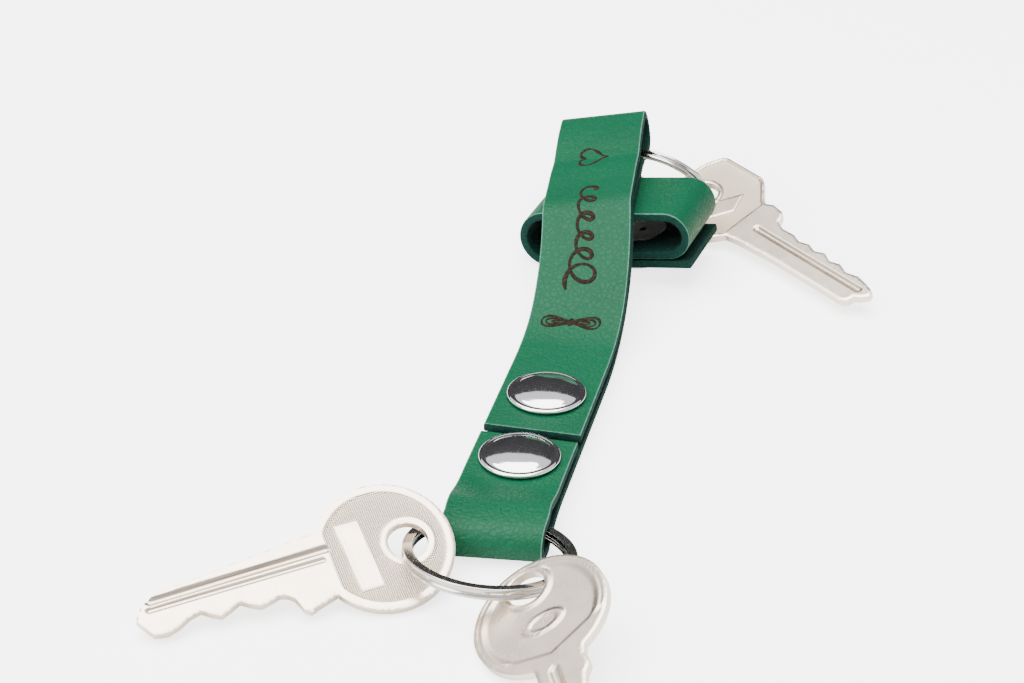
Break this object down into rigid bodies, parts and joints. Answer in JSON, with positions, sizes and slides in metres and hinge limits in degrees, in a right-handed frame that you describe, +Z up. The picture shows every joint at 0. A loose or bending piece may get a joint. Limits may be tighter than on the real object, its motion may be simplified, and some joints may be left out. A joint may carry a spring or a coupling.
{
  "type": "leather key organiser",
  "caption": "Folded green leather strap closed by snap fasteners, with a short rolled loop, split rings and keys that swing on them.",
  "frame": {"origin": "on the strap's flat underside, midway between the two snap axes of the strap", "axes": "+Y along the strap from its front fold to its back bend, +X to the right seen from the front, +Z up out of the caps"},
  "size_m": [0.1068, 0.2076, 0.0218],
  "materials": {
    "green_leather": "satin pebbled leather with a paler cut edge",
    "snap_caps": "polished nickel plating",
    "snap_inner_metal": "plain nickel plated stamping",
    "spring_steel": "plain spring wire",
    "ring_steel": "polished nickel plated steel",
    "key_nickel": "worn nickel silver"
  },
  "bodies": {
    "strap_base": {"strap_lower_run": "green_leather", "snap_front_post": "snap_inner_metal", "snap_front_stud": "snap_inner_metal", "snap_back_post": "snap_inner_metal", "snap_back_stud": "snap_inner_metal"},
    "front_flap": {"strap_front_flap": "green_leather", "snap_front_cap": "snap_caps", "snap_front_socket": "snap_inner_metal", "snap_front_spring": "spring_steel"},
    "top_run": {"strap_top_run": "green_leather", "snap_back_cap": "snap_caps", "snap_back_socket": "snap_inner_metal", "snap_back_spring": "spring_steel"},
    "ring_front": {"split_ring_front": "ring_steel"},
    "key_textured": {"key_round_textured": "key_nickel"},
    "key_smooth": {"key_round_smooth": "key_nickel"},
    "ring_back": {"split_ring_back": "ring_steel"},
    "key_six_sided": {"key_hex": "key_nickel"},
    "short_loop": {"short_loop_body": "green_leather", "snap_loop_post": "snap_inner_metal", "snap_loop_stud": "snap_inner_metal"},
    "loop_flap": {"short_loop_flap": "green_leather", "snap_loop_cap": "snap_caps", "snap_loop_socket": "snap_inner_metal", "snap_loop_spring": "spring_steel"}
  },
  "joints": [
    {"name": "front_flap_open", "type": "hinge", "parent": "strap_base", "child": "front_flap", "pos_m": [0.00079, -0.03125, 0.0075], "axis": [0.9952, 0.0983, 0], "range_deg": [0, 90]},
    {"name": "top_run_open", "type": "hinge", "parent": "strap_base", "child": "top_run", "pos_m": [-0.00787, 0.10167, 0.02014], "axis": [-0.9794, -0.1028, -0.1736], "range_deg": [0, 75]},
    {"name": "ring_front_turn", "type": "hinge", "parent": "strap_base", "child": "ring_front", "pos_m": [0.0022, -0.04315, 0.0056], "axis": [0.0403, 0.161, 0.9861], "range_deg": [-5, 20]},
    {"name": "key_textured_swing", "type": "hinge", "parent": "ring_front", "child": "key_textured", "pos_m": [-0.0117, -0.04505, 0.00648], "axis": [0.1434, -0.9777, 0.1538], "range_deg": [-8, 10]},
    {"name": "key_smooth_swing", "type": "hinge", "parent": "ring_front", "child": "key_smooth", "pos_m": [0.0112, -0.0539, 0.007], "axis": [0.7684, 0.6259, -0.1336], "range_deg": [-20, 20]},
    {"name": "ring_back_turn", "type": "hinge", "parent": "strap_base", "child": "ring_back", "pos_m": [0.00662, 0.09913, 0.00928], "axis": [0.2406, 0.7618, 0.6014], "range_deg": [-3, 15]},
    {"name": "key_six_sided_swing", "type": "hinge", "parent": "ring_back", "child": "key_six_sided", "pos_m": [0.01441, 0.10039, 0.00457], "axis": [-0.4729, 0.6331, -0.6128], "range_deg": [-12, 8]},
    {"name": "short_loop_slide", "type": "slide", "parent": "strap_base", "child": "short_loop", "axis": [0.9752, -0.1371, 0.1736], "range_m": [0, 0.004]},
    {"name": "loop_flap_open", "type": "hinge", "parent": "short_loop", "child": "loop_flap", "pos_m": [-0.01059, 0.07902, 0.00021], "axis": [0.1392, 0.9903, 0], "range_deg": [0, 60]}
  ]
}
